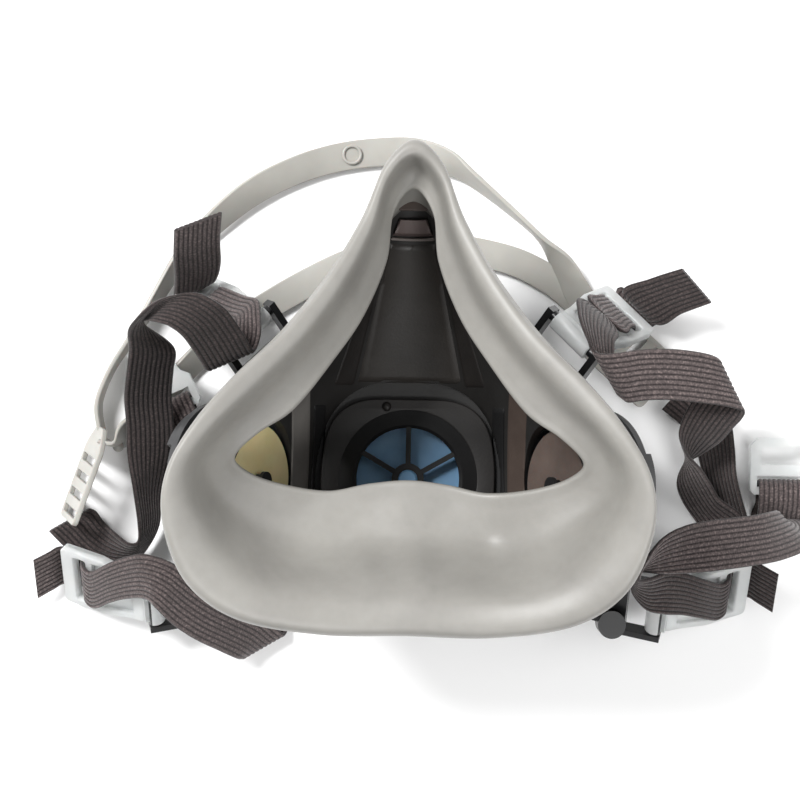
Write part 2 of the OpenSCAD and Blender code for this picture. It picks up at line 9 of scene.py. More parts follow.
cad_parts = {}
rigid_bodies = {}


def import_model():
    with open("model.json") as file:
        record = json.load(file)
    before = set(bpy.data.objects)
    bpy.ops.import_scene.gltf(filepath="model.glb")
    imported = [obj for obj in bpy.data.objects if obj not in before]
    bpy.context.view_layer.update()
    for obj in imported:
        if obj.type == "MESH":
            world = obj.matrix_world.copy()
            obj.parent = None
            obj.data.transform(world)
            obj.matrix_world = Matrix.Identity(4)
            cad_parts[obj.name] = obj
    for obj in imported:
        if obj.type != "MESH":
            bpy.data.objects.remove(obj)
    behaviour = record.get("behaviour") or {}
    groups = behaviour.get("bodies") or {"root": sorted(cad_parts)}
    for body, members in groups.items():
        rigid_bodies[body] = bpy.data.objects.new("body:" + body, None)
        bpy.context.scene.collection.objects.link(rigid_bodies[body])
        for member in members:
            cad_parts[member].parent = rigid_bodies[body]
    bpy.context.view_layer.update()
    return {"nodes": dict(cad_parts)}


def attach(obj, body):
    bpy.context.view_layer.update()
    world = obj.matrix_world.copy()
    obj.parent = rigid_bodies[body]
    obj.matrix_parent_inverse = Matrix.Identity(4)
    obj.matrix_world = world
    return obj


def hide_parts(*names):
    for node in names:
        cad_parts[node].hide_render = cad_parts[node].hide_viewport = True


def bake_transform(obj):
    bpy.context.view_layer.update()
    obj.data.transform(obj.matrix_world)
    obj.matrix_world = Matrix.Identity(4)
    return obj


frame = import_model()
cadNodes = frame["nodes"]
mm = 0.001   # lengths below are in millimetres, as a maker would measure them


def mixPoints(a, b, t):
    return [x + (y - x) * t for x, y in zip(a, b)]


def splinePoint(a, b, c, d, t):
    # smooth curve through four points, between the middle two
    return [
        0.5 * (2 * q + (r - p) * t + (2 * p - 5 * q + 4 * r - s) * t * t
               + (3 * q - p - 3 * r + s) * t ** 3)
        for p, q, r, s in zip(a, b, c, d)]


def softCurve(points, steps):
    # a curve through points whose speed follows their spacing, so short steps don't ripple
    knots = [0]
    for a, b in zip(points, points[1:]):
        knots.append(knots[-1] + max(math.dist(a[:3], b[:3]), 0.01) ** 0.5)
    last = len(points) - 1

    def slope(i):
        if i == 0 or i == last:
            k = min(i, last - 1)
            return [(q - p) / (knots[k + 1] - knots[k]) for p, q in zip(points[k], points[k + 1])]
        before, after = knots[i] - knots[i - 1], knots[i + 1] - knots[i]
        return [
            ((q - p) / before * after + (r - q) / after * before) / (before + after)
            for p, q, r in zip(points[i - 1], points[i], points[i + 1])]

    slopes = [slope(i) for i in range(last + 1)]
    out = []
    for k in range(last):
        h = knots[k + 1] - knots[k]
        for s in range(steps):
            t = s / steps
            a, b = 2 * t ** 3 - 3 * t * t + 1, t ** 3 - 2 * t * t + t
            c, d = 3 * t * t - 2 * t ** 3, t ** 3 - t * t
            out.append([
                a * p + b * h * m + c * q + d * h * n
                for p, q, m, n in zip(points[k], points[k + 1], slopes[k], slopes[k + 1])])
    out.append(list(points[last]))
    return out


def smoothList(points, steps):
    # an open curve through all points
    last = len(points) - 1
    out = []
    for k in range(last):
        for s in range(steps):
            out.append(splinePoint(
                points[max(k - 1, 0)], points[k], points[k + 1], points[min(k + 2, last)], s / steps))
    out.append(list(points[last]))
    return out


def bothSides(half):
    # the right half of a ring, from top to bottom, completed with its mirror image
    return half + [[-p[0]] + list(p[1:]) for p in half[-2:0:-1]]


def smoothRing(half, count):
    # a closed curve of count points from its right half
    full = bothSides(half)
    m = len(full)
    out = []
    for i in range(count):
        u = i * m / count
        k = int(u)
        out.append(splinePoint(full[k - 1], full[k], full[(k + 1) % m], full[(k + 2) % m], u - k))
    return out


def smoothStep(low, high, value):
    # 0 up to low, 1 from high on, soft between
    t = min(max((value - low) / (high - low), 0), 1)
    return t * t * (3 - 2 * t)


def finishMesh(name, bm, material, autoAngle=None):
    # weld the points and turn the drawn faces into a smooth piece; autoAngle keeps its edges crisp
    bmesh.ops.remove_doubles(bm, verts=bm.verts, dist=0.000002)
    bmesh.ops.recalc_face_normals(bm, faces=bm.faces)
    mesh = bpy.data.meshes.new(name)
    bm.to_mesh(mesh)
    bm.free()
    piece = bpy.data.objects.new(name, mesh)
    bpy.context.scene.collection.objects.link(piece)
    for face in mesh.polygons:
        face.use_smooth = True
    if autoAngle is not None:
        sharpen(piece, autoAngle)
    mesh.materials.append(material)
    return piece


def sharpen(piece, degrees):
    # edges that turn more than the angle stay crisp
    bm = bmesh.new()
    bm.from_mesh(piece.data)
    for edge in bm.edges:
        if len(edge.link_faces) == 2:
            edge.smooth = edge.calc_face_angle(0) < math.radians(degrees)
    bm.to_mesh(piece.data)
    bm.free()


def gridMesh(bm, rows, closeRows=False, uvs=None):
    # rings of points in millimetres joined by quads; closeRows joins the last ring to the first
    made = [[bm.verts.new([c * mm for c in p]) for p in row] for row in rows]
    n = len(rows[0])
    uvLayer = bm.loops.layers.uv.verify() if uvs else None
    for j in range(len(rows) if closeRows else len(rows) - 1):
        for i in range(n):
            a, b = made[j], made[(j + 1) % len(rows)]
            k = (i + 1) % n
            face = bm.faces.new([a[i], a[k], b[k], b[i]])
            if uvs:
                corners = [(j, i), (j, i + 1), (j + 1, i + 1), (j + 1, i)]
                for loop, (row, col) in zip(face.loops, corners):
                    loop[uvLayer].uv = uvs(row, col)
    return made


def closeEnds(bm, made):
    # flat ends on a tube of rings
    bm.faces.new(made[0][::-1])
    bm.faces.new(made[-1])


def latheMesh(bm, profile, place, steps=96):
    # a closed outline of radius and height turned round an axis
    rows = []
    for k in range(steps):
        a = 2 * math.pi * k / steps
        rows.append([place(r * math.cos(a), r * math.sin(a), h) for r, h in profile])
    gridMesh(bm, rows, closeRows=True)


def roundedOutline(points, radius, steps=6):
    # a polygon with every corner rounded
    out = []
    n = len(points)
    for k in range(n):
        before, at, after = Vector(points[k - 1]), Vector(points[k]), Vector(points[(k + 1) % n])
        toBefore, toAfter = before - at, after - at
        half = toBefore.angle(toAfter) / 2
        reach = min(radius / math.tan(half), toBefore.length * 0.45, toAfter.length * 0.45)
        start, end = at + toBefore.normalized() * reach, at + toAfter.normalized() * reach
        for s in range(steps + 1):
            t = s / steps
            p = start * (1 - t) ** 2 + at * 2 * t * (1 - t) + end * t ** 2
            out.append((p.x, p.y))
    return out


def shapeNow(piece):
    # the mesh of a piece with its cuts or bevels worked out
    bpy.context.view_layer.update()
    return bpy.data.meshes.new_from_object(
        piece.evaluated_get(bpy.context.evaluated_depsgraph_get()))


def plateMesh(name, outlines, low, high, edge, place, material):
    # a flat plate with holes and rounded edges, drawn as outlines and then put in place
    curve = bpy.data.curves.new(name, "CURVE")
    curve.dimensions = "2D"
    curve.fill_mode = "BOTH"
    for outline in outlines:
        line = curve.splines.new("POLY")
        line.points.add(len(outline) - 1)
        for point, (x, y) in zip(line.points, outline):
            point.co = (x * mm, y * mm, 0, 1)
        line.use_cyclic_u = True
    curve.extrude = (high - low) / 2 * mm - edge * mm
    curve.bevel_depth = edge * mm
    curve.bevel_resolution = 3
    curve.offset = -edge * mm
    drawn = bpy.data.objects.new(name + "Outline", curve)
    bpy.context.scene.collection.objects.link(drawn)
    mesh = shapeNow(drawn)
    bpy.data.objects.remove(drawn)
    middle = (low + high) / 2
    for vertex in mesh.vertices:
        x, y, z = (c / mm for c in vertex.co)
        vertex.co = [c * mm for c in place(x, y, z + middle)]
    bm = bmesh.new()
    bm.from_mesh(mesh)
    bpy.data.meshes.remove(mesh)
    return finishMesh(name, bm, material, autoAngle=40)


def joined(name, parts):
    # several pieces of one moulding become one piece
    bm = bmesh.new()
    for part in parts:
        bm.from_mesh(part.data)
    material = parts[0].data.materials[0]
    for part in parts:
        bpy.data.objects.remove(part)
    mesh = bpy.data.meshes.new(name)
    bm.to_mesh(mesh)
    bm.free()
    piece = bpy.data.objects.new(name, mesh)
    bpy.context.scene.collection.objects.link(piece)
    mesh.materials.append(material)
    return piece


def turned(axis, degrees):
    return Matrix.Rotation(math.radians(degrees), 3, axis)


def upright(x, y, z):
    return [x, y, z]


def placed(spin, at):
    # a place function that turns a point and then moves it
    def put(x, y, z):
        p = spin @ Vector((x, y, z))
        return [p.x + at[0], p.y + at[1], p.z + at[2]]
    return put


def mirroredX(place, side):
    # the same place on the other side of the mask when side is 1
    def put(x, y, z):
        p = place(x, y, z)
        return [-side * p[0], p[1], p[2]]
    return put


def linear(r, g, b):
    # screen colour, 0 to 255, to the shader's scale
    out = []
    for c in (r, g, b):
        c = c / 255
        out.append(c / 12.92 if c <= 0.04045 else ((c + 0.055) / 1.055) ** 2.4)
    return (*out, 1)


class Finish:
    # a material being built up, with its main shader
    def __init__(self, name, roughness=0.5, **sockets):
        self.material = bpy.data.materials.new(name)
        self.material.use_nodes = True
        self.tree = self.material.node_tree
        self.shader = self.tree.nodes["Principled BSDF"]
        self.shader.inputs["Roughness"].default_value = roughness
        for socket, value in sockets.items():
            self.shader.inputs[socket.replace("_", " ")].default_value = value
        self.place = self.tree.nodes.new("ShaderNodeTexCoord")
        self.bump = None

    def node(self, kind, **values):
        made = self.tree.nodes.new(kind)
        for name, value in values.items():
            if hasattr(made, name):
                setattr(made, name, value)
            else:
                made.inputs[name.replace("_", " ")].default_value = value
        return made

    def link(self, a, b):
        self.tree.links.new(a, b)

    def noise(self, scale, detail):
        made = self.node("ShaderNodeTexNoise", Scale=scale, Detail=detail, Roughness=0.55)
        self.link(self.place.outputs["Object"], made.inputs["Vector"])
        return made.outputs["Fac"]

    def ramp(self, value, stops):
        made = self.node("ShaderNodeValToRGB")
        elements = made.color_ramp.elements
        while len(elements) < len(stops):
            elements.new(0.5)
        for element, (at, colour) in zip(elements, stops):
            element.position = at
            element.color = colour
        self.link(value, made.inputs["Fac"])
        return made.outputs["Color"]

    def calc(self, kind, a, b=0):
        made = self.node("ShaderNodeMath", operation=kind)
        for socket, value in zip(made.inputs, (a, b)):
            if isinstance(value, (int, float)):
                socket.default_value = value
            else:
                self.link(value, socket)
        return made.outputs[0]

    def mix(self, amount, a, b, kind="MIX"):
        made = self.node("ShaderNodeMix", data_type="RGBA", blend_type=kind)
        for index, value in ((0, amount), (6, a), (7, b)):
            if isinstance(value, (int, float, tuple)):
                made.inputs[index].default_value = value
            else:
                self.link(value, made.inputs[index])
        return made.outputs[2]

    def colour(self, value):
        self.link(value, self.shader.inputs["Base Color"])

    def rough(self, value, low, high):
        made = self.node("ShaderNodeMapRange")
        made.inputs["To Min"].default_value = low
        made.inputs["To Max"].default_value = high
        self.link(value, made.inputs["Value"])
        self.link(made.outputs["Result"], self.shader.inputs["Roughness"])

    def relief(self, height, depth, strength=1.0):
        made = self.node("ShaderNodeBump")
        made.inputs["Strength"].default_value = strength
        made.inputs["Distance"].default_value = depth
        self.link(height, made.inputs["Height"])
        if self.bump:
            self.link(self.bump.outputs["Normal"], made.inputs["Normal"])
        self.link(made.outputs["Normal"], self.shader.inputs["Normal"])
        self.bump = made


def mouldedFinish(name, dark, light, roughness, grain=900, depth=0.00002, **sockets):
    # moulded plastic or rubber: two close tones, fine grain and slight wear in its gloss
    finish = Finish(name, roughness, **sockets)
    cloud = finish.noise(60, 3)
    finish.colour(finish.ramp(cloud, [(0.3, dark), (0.7, light)]))
    finish.rough(finish.noise(140, 5), roughness - 0.08, roughness + 0.1)
    finish.relief(finish.noise(grain, 3), depth)
    return finish.material


sealLook = {
    "shade": linear(123, 121, 117), "tone": linear(143, 141, 136), "satin": (0.4, 0.54),
    "speckle": 2600, "speckleDepth": 0.000012, "glow": 0.12,
}


def makeSealFinish():
    # satin elastomer, warm grey, slightly cloudy, with a very fine moulded texture
    look = sealLook
    finish = Finish("sealElastomer")
    cloud = finish.noise(35, 4)
    fine = finish.noise(420, 5)
    base = finish.ramp(cloud, [(0.3, look["shade"]), (0.72, look["tone"])])
    grain = finish.ramp(fine, [(0.35, look["shade"]), (0.65, look["tone"])])
    finish.colour(finish.mix(0.12, base, grain))
    finish.shader.inputs["Subsurface Weight"].default_value = look["glow"]
    finish.shader.inputs["Subsurface Radius"].default_value = (1, 0.8, 0.65)
    finish.shader.inputs["Subsurface Scale"].default_value = 0.0012
    finish.rough(finish.noise(90, 5), *look["satin"])
    finish.relief(finish.noise(160, 3), 0.00006)
    finish.relief(finish.noise(look["speckle"], 2), look["speckleDepth"])
    return finish.material


webLook = {
    "ribs": 10, "groove": linear(42, 35, 35), "rib": linear(84, 75, 74), "mid": linear(64, 56, 56),
    "stitch": 0.62,      # length of one stitch of the knit, in millimetres
}
# the lower side of the webbing: the same webbing with painted shade, darker tones for the side turned
# away from the light
webBackShadeLook = {
    **webLook, "groove": linear(26, 21, 21), "rib": linear(60, 52, 51), "mid": linear(42, 35, 35),
}


def makeWebFinish(name, look):
    # ribbed elastic: light ribs, dark furrows, and a fine knit running across
    finish = Finish(name, 0.85, Sheen_Weight=0.25, Sheen_Roughness=0.5, Specular_IOR_Level=0.25)
    split = finish.node("ShaderNodeSeparateXYZ")
    finish.link(finish.place.outputs["UV"], split.inputs["Vector"])
    across = finish.calc("MULTIPLY", split.outputs["X"], 2 * math.pi * look["ribs"])
    ribWave = finish.calc("SUBTRACT", 1, finish.calc("ABSOLUTE", finish.calc("COSINE", across)))
    furrow = finish.calc("ABSOLUTE", finish.calc("COSINE", finish.calc("MULTIPLY", across, 0.5)))
    ribHeight = finish.calc("SUBTRACT", 1, finish.calc("POWER", furrow, 5))
    along = finish.calc("MULTIPLY", split.outputs["Y"], 2 * math.pi / look["stitch"])
    skew = finish.calc("ADD", along, finish.calc("MULTIPLY", across, 0.5))
    knit = finish.calc("MULTIPLY", finish.calc("ADD", finish.calc("SINE", skew), 1), 0.5)
    fuzz = finish.noise(1800, 4)
    colour = finish.ramp(ribHeight, [(0.05, look["groove"]), (0.55, look["mid"]), (1.0, look["rib"])])
    dim = finish.ramp(knit, [(0.0, (0.62, 0.62, 0.62, 1)), (0.7, (1, 1, 1, 1))])
    colour = finish.mix(0.3, colour, dim, "MULTIPLY")
    speck = finish.ramp(fuzz, [
        (0.32, (0.5, 0.5, 0.5, 1)), (0.52, (0.95, 0.95, 0.95, 1)), (0.7, (2.1, 2.08, 2.05, 1))])
    finish.colour(finish.mix(0.9, colour, speck, "MULTIPLY"))
    height = finish.calc("ADD", finish.calc("MULTIPLY", knit, 0.2), fuzz)
    finish.relief(height, 0.00012, 0.8)
    finish.relief(ribWave, 0.00002, 0.3)
    return finish.material


def makeBuckleFinish():
    # milky translucent nylon
    finish = Finish("buckleNylon", 0.3, Transmission_Weight=0.62, IOR=1.3, Subsurface_Weight=0.3)
    finish.shader.inputs["Subsurface Radius"].default_value = (1, 1, 1)
    finish.shader.inputs["Subsurface Scale"].default_value = 0.0015
    cloud = finish.noise(160, 3)
    finish.colour(finish.ramp(cloud, [(0.3, linear(240, 243, 243)), (0.7, linear(251, 252, 251))]))
    finish.rough(finish.noise(300, 4), 0.24, 0.4)
    finish.relief(finish.noise(500, 3), 0.00002)
    return finish.material


def makeValveFinish(name, dark, light, glow):
    # thin silicone disc with fine turned rings
    finish = Finish(name, 0.5, Subsurface_Weight=glow)
    finish.shader.inputs["Subsurface Scale"].default_value = 0.001
    cloud = finish.noise(110, 4)
    finish.colour(finish.ramp(cloud, [(0.3, dark), (0.7, light)]))
    finish.rough(finish.noise(200, 4), 0.45, 0.6)
    finish.relief(finish.noise(700, 4), 0.00004)
    return finish.material


finishes = {
    "seal": makeSealFinish(),
    "body": mouldedFinish("bodyPlastic", linear(30, 29, 28), linear(40, 39, 38), 0.48, 1400, 0.00003),
    "panel": mouldedFinish("panelPlastic", linear(42, 39, 37), linear(54, 51, 48), 0.45, 1400, 0.00003),
    "facet": mouldedFinish("facetPlastic", linear(27, 25, 24), linear(38, 35, 33), 0.5, 1400, 0.00003),
    # the nose ledge: the body's dark plastic painted lighter brown-grey, painted light on its
    # upward-facing edge
    "litLedge": mouldedFinish("ledgePaintedLight", linear(88, 76, 74), linear(104, 92, 89), 0.5, 1200, 0.00003),
    # dark umber: painted shade, for the right wall band and the nose arch, which lie in shade
    "shadedUmber": mouldedFinish("paintedShadeUmber", linear(62, 52, 47), linear(76, 65, 59), 0.5, 1200, 0.00003),
    # a pale line: painted highlight along the lit bevel at the top of the nose panel
    "bevelHighlight": mouldedFinish("paintedBevelHighlight", linear(140, 132, 128), linear(158, 150, 146), 0.4, 1200),
    # light grey: painted light on the left wall band, where the dark body wall faces up to the light
    "tube": mouldedFinish("tubePlastic", linear(92, 89, 86), linear(114, 111, 107), 0.5, 900, 0.00003),
    # near black: the seats' own colour, and painted shade on the steep wall bands beside the ports
    "seat": mouldedFinish("seatPlastic", linear(9, 9, 10), linear(16, 16, 17), 0.6, 1200, 0.00002),
    # the cream inhalation rubber with painted shade: darker brown tones for the disc on the shaded side
    "creamInShade": makeValveFinish("inhaleRubberPaintedShade", linear(72, 62, 57), linear(92, 80, 74), 0.1),
    "blue": makeValveFinish("exhaleRubber", linear(108, 150, 186), linear(128, 168, 202), 0.1),
    "cream": makeValveFinish("inhaleRubber", linear(198, 184, 134), linear(212, 199, 152), 0.3),
    "cover": mouldedFinish("coverPlastic", linear(34, 35, 36), linear(46, 47, 48), 0.42, 1200, 0.00003),
    "yoke": mouldedFinish("yokePlastic", linear(14, 14, 15), linear(22, 22, 24), 0.34, 300, 0.00002,
                          Coat_Weight=0.25, Coat_Roughness=0.2),
    "port": mouldedFinish("portPlastic", linear(48, 48, 49), linear(62, 62, 63), 0.4, 1200, 0.00002),
    "gasket": mouldedFinish("gasketRubber", linear(36, 36, 36), linear(48, 48, 48), 0.62, 900, 0.00003),
    "buckle": makeBuckleFinish(),
    "cradle": mouldedFinish("cradlePlastic", linear(152, 150, 144), linear(166, 164, 158), 0.42, 700,
                            0.00003, Subsurface_Weight=0.1, Subsurface_Scale=0.001),
    "web": makeWebFinish("webbingElastic", webLook),
    "webShadedBack": makeWebFinish("webbingPaintedShade", webBackShadeLook),
}
print("finishes made:", len(finishes))


def dress(node, finish):
    # a CAD piece keeps its shape and takes a better finish
    piece = cadNodes[node]
    piece.data.materials.clear()
    piece.data.materials.append(finishes[finish])


rimCurve = [
    [0, 82.1, 60], [6.8, 76.5, 60], [12, 63.6, 62], [19.5, 49.5, 66], [29, 36.5, 71], [39.6, 26.2, 75],
    [48.5, 15.5, 79], [54.5, 4, 81.5], [55.2, -8, 81.5], [50, -21.5, 79], [38.5, -30.2, 75],
    [20, -33.8, 71], [0, -33.8, 70]]
lipCurve = [
    [0, 72, 50], [4.7, 65.8, 50], [6.3, 54.2, 51], [11.5, 41, 53], [18.5, 30, 57], [27.4, 18.5, 62],
    [35.7, 12.5, 65], [41.2, 6.2, 64], [37.5, 1.9, 60], [28, -1.2, 55], [19, -2.3, 50.5],
    [9.5, -0.5, 48], [0, 0.4, 48]]
wallCurve = [
    [0, 77.5, 49], [7, 72.5, 49], [13, 61.5, 50], [20.5, 49.5, 53], [29.5, 37.5, 57], [38.5, 27, 60],
    [46, 16.5, 64], [51.5, 4.5, 67], [52, -8, 66], [47.5, -20.5, 63], [36.5, -29, 59],
    [19.5, -33, 56], [0, -33.5, 55]]
jointCurve = [
    [0, 70, 38], [6.5, 66, 38], [12, 57, 38.5], [18.5, 46.5, 40], [26, 36, 42], [33.5, 26, 45],
    [40, 16, 48], [44.5, 5, 50], [45, -6, 49], [41, -17, 45], [31.5, -25.5, 40], [17, -29.5, 37],
    [0, -30.5, 36]]
frontCurve = [
    [0, 22, 0], [6, 22, 0], [12, 21.5, 0], [17, 19.5, 0], [20.5, 16, 0], [22.5, 11.5, 0],
    [23.5, 6, 0], [23.8, 1, 0], [23.5, -5, 0], [21.5, -12, 0], [16.5, -18, 0], [9, -21, 0], [0, -22, 0]]
lipSag = [3, 2.5, 2, 2, 2, 2.5, 4, 6, 7, 7, 7, 8, 8]

sealSize = {
    "around": 288,          # points round a ring
    "across": 7,            # rows between two shaping rows
    "wall": 2.0,
    "crest": 0.34,          # how far in from the outer edge the rolled rim is highest
    "crestLeast": 3.6,
    "crestMost": 8.5,
    "crestRise": 2.2,
    "hollow": 0.72,         # how far the flange dips
    "edgeRound": 5,         # rows that round the free lip
}


def sealShapingRows():
    # from the joint up the wall, over the rolled rim and down the flange to its free lip
    size = sealSize
    count = size["around"]
    rim, lip = smoothRing(rimCurve, count), smoothRing(lipCurve, count)
    sag = [s[1] for s in smoothRing([[0, s] for s in lipSag], count)]

    def across(share, dip, least=0.0, most=99.0, rise=0.0):
        # a ring that lies a share of the way from the rim to the lip, within least and most of the rim
        row = []
        for r, l, s in zip(rim, lip, sag):
            flat = math.hypot(l[0] - r[0], l[1] - r[1])
            t = min(max(share * flat, least), most) / flat
            p = mixPoints(r, l, t)
            row.append([p[0], p[1], p[2] - dip * s + rise])
        return row

    return [
        smoothRing(jointCurve, count), smoothRing(wallCurve, count), across(0, 0, rise=-4.2),
        across(0.06, 0, 0.9, 1.6, -0.5),
        across(size["crest"], 0, size["crestLeast"], size["crestMost"], size["crestRise"]),
        across(0.62, size["hollow"]), across(0.86, size["hollow"] * 0.5), lip]


def rowNormals(rows):
    # unit normals of a closed sheet of rows, pointing to its outer side
    out = []
    last = len(rows) - 1
    n = len(rows[0])
    for j, row in enumerate(rows):
        line = []
        for i in range(n):
            along = Vector(rows[min(j + 1, last)][i]) - Vector(rows[max(j - 1, 0)][i])
            around = Vector(row[(i + 1) % n]) - Vector(row[i - 1])
            line.append(along.cross(around).normalized())
        out.append(line)
    return out


def innerSide(rows, wall):
    # the same sheet, one wall's thickness inside
    return [
        [list(Vector(p) - n * wall) for p, n in zip(row, line)]
        for row, line in zip(rows, rowNormals(rows))]


def shellRows(rows, wall, edgeRound):
    # the sheet, a rounded free edge, and its inner side
    inner = innerSide(rows, wall)
    rounding = []
    for k in range(1, edgeRound):
        a = math.pi * k / edgeRound
        ring = []
        for p, q, before in zip(rows[-1], inner[-1], rows[-2]):
            p, q = Vector(p), Vector(q)
            out = (p - Vector(before)).normalized() * wall * 0.5 * math.sin(a)
            ring.append(list((p + q) / 2 + (p - q) / 2 * math.cos(a) + out))
        rounding.append(ring)
    return rows + rounding + inner[::-1]


sealRelief = [   # soft swellings and hollows of the flange: X, Y, reach in X and Y, height
    (-10.5, -18.5, 4.5, 5, 1.7), (2.2, -18.8, 4.2, 5, 1.6), (21, -17, 6.5, 10, -3.6),
    (-30, -14, 9, 8, -1), (38, -12, 7, 8, 0.5), (-4, -8, 10, 5, 0.8)]


def reliefAt(x, y):
    return sum(h * math.exp(-((x - a) / u) ** 2 - ((y - b) / v) ** 2) for a, b, u, v, h in sealRelief)


def buildFaceSeal():
    size = sealSize
    shaping = sealShapingRows()
    columns = [softCurve([row[i] for row in shaping], size["across"]) for i in range(size["around"])]
    rows = [[column[j] for column in columns] for j in range(len(columns[0]))]
    for j in range(len(rows)):
        share = smoothStep(3.9, 4.5, j / size["across"])   # only the flange, from its crest inwards
        rows[j] = [[p[0], p[1], p[2] + share * reliefAt(p[0], p[1])] for p in rows[j]]
    bm = bmesh.new()
    gridMesh(bm, shellRows(rows, size["wall"], size["edgeRound"]), closeRows=True)
    seal = finishMesh("faceSeal", bm, finishes["seal"])
    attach(seal, "mask")
    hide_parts("face_seal")
    print("face seal:", len(seal.data.vertices), "points")


bodySize = {
    "around": 240, "across": 12, "wall": 2.2, "frontZ": 9.0, "dome": 1.4, "seatHole": 17.6,
    "tubeR": 15.2, "tubeWall": 2.3, "tubeEnd": 11}
portPlace = {"x": 38, "z": 35, "tilt": 60}


def portPoint(side):
    # from a port's own directions to the mask's; its axis points outwards and down
    spin = turned("Y", side * (180 - portPlace["tilt"]))
    return placed(spin, (side * portPlace["x"], 0, portPlace["z"]))


def bodyRows():
    # from the flat front up to the joint with the seal, slightly domed half way
    front = [[p[0], p[1], bodySize["frontZ"]] for p in frontCurve]
    middle = []
    for f, j in zip(front, jointCurve):
        out = Vector(f[:2]).normalized() * bodySize["dome"]
        m = mixPoints(f, j, 0.5)
        middle.append([m[0] + out.x, m[1] + out.y, m[2] - 1])
    count = bodySize["around"]
    top = [[p[0], p[1], p[2] - 0.3] for p in smoothRing(jointCurve, count)]
    shaping = [smoothRing(front, count), smoothRing(middle, count), top]
    columns = [smoothList([row[i] for row in shaping], bodySize["across"]) for i in range(count)]
    return [[column[j] for column in columns] for j in range(len(columns[0]))]


def cutWith(piece, cutters):
    # cut holes with closed cutters, then throw the cutters away
    for cutter in cutters:
        cut = piece.modifiers.new("cut", "BOOLEAN")
        cut.operation = "DIFFERENCE"
        cut.solver = "EXACT"
        cut.object = cutter
        mesh = shapeNow(piece)
        piece.modifiers.clear()
        old = piece.data
        piece.data = mesh
        bpy.data.meshes.remove(old)
        bpy.data.objects.remove(cutter)


def circle(radius, steps):
    turns = [2 * math.pi * k / steps for k in range(steps)]
    return [(radius * math.cos(a), radius * math.sin(a)) for a in turns]


def cylinderPiece(name, radius, low, high, place):
    bm = bmesh.new()
    closeEnds(bm, gridMesh(bm, [[place(x, y, h) for x, y in circle(radius, 96)] for h in (low, high)]))
    return finishMesh(name, bm, finishes["body"])


def buildBody():
    size = bodySize
    rows = bodyRows()
    inner = innerSide(rows, size["wall"])
    # the inner side starts above the front plate
    floorZ = size["frontZ"] + size["wall"]
    keep = [row for row in inner if min(p[2] for p in row) > floorZ + 0.6]
    plateEdge = [[p[0], p[1], floorZ] for p in keep[0]]
    bm = bmesh.new()
    made = gridMesh(bm, rows + keep[::-1] + [plateEdge])
    closeEnds(bm, made)
    body = finishMesh("facepieceShell", bm, finishes["body"])
    cutWith(body, [cylinderPiece("seatHole", size["seatHole"], 5, 15, upright)]
            + [cylinderPiece("tubeHole", size["tubeR"], -9, 12, portPoint(side)) for side in (-1, 1)])
    sharpen(body, 35)
    tubes = []
    for side in (-1, 1):
        bm = bmesh.new()
        bore, outer, end = size["tubeR"], size["tubeR"] + size["tubeWall"], size["tubeEnd"]
        latheMesh(bm, [(bore, -0.6), (outer, -0.6), (outer, end - 0.6), (outer - 0.6, end), (bore, end)],
                  portPoint(side))
        word = "Left" if side < 0 else "Right"
        tubes.append(finishMesh("portTube" + word, bm, finishes["cover"], autoAngle=35))
    for piece in [body] + tubes:
        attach(piece, "mask")
        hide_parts("facepiece_body")
    print("facepiece body:", len(body.data.vertices), "points")
    bm = bmesh.new()
    bm.from_mesh(body.data)
    wall = BVHTree.FromBMesh(bm)
    bm.free()
    buildInside(wall)


insideSize = {
    "frameIn": 1.2, "frameHole": 17.9, "frameHigh": 2.1,
    "arch": [(-3.7, 67), (3.7, 67), (3.2, 68.4), (1.4, 70.4), (-1.4, 70.4), (-3.2, 68.4)],
    "peg": [(0.02, 12.4), (1.3, 12.4), (1.2, 13.7), (0.7, 14.2), (0.02, 14.3)], "pegAt": (-5.8, 18.8, 0)}
padShape = {"columns": 24, "rows": 40, "edge": 0.5, "sunk": 0.15, "under": 0.7, "above": 58}
# raised areas of the shell's inner wall, several of them coloured as painted light or painted shade: Y
# from and to, where each side lies at both, height, finish
insidePads = [
    {"name": "nosePanel", "y": [25, 59.4], "left": [-13.5, -5.6], "right": [13.5, 5.6], "lift": 0.9,
     "finish": "panel"},
    {"name": "leftFacet", "y": [24, 58.4], "left": [-19.5, -7.6], "right": [-14.4, -6.2], "lift": 0.5,
     "finish": "facet"},
    {"name": "rightFacet", "y": [24, 58.4], "left": [14.4, 6.2], "right": [19.5, 7.6], "lift": 0.5,
     "finish": "facet"},
    # a pale line on the panel's top edge: painted highlight
    {"name": "noseHighlightLine", "y": [60.1, 60.9], "left": [-5.4, -5.3], "right": [5.4, 5.3], "lift": 1.5,
     "finish": "bevelHighlight"},
    # the body's edge at the nose, coloured with painted light
    {"name": "noseLedge", "y": [61.2, 65.2], "left": [-5, -3.4], "right": [5, 3.4], "lift": 2.2,
     "finish": "litLedge"},
    # the left wall band, light grey: painted light of the upward-facing wall
    {"name": "leftLitStrip", "y": [-14, 24], "left": [-30.3, -29.3], "right": [-26, -25], "lift": 0.7,
     "finish": "tube"},
    # the right wall band, dark umber: painted shade of the wall on the shaded side
    {"name": "rightShadeStrip", "y": [-14, 24], "left": [26, 25], "right": [30.3, 29.3], "lift": 0.7,
     "finish": "shadedUmber"},
    # near-black bands on the steep walls beside the ports: painted shade
    {"name": "leftShadeRib", "y": [-13, 19], "left": [-25.6, -24.4], "right": [-22.6, -21.4], "lift": 0.9,
     "finish": "seat"},
    {"name": "rightShadeRib", "y": [-13, 19], "left": [22.6, 21.4], "right": [25.6, 24.4], "lift": 0.9,
     "finish": "seat"},
]


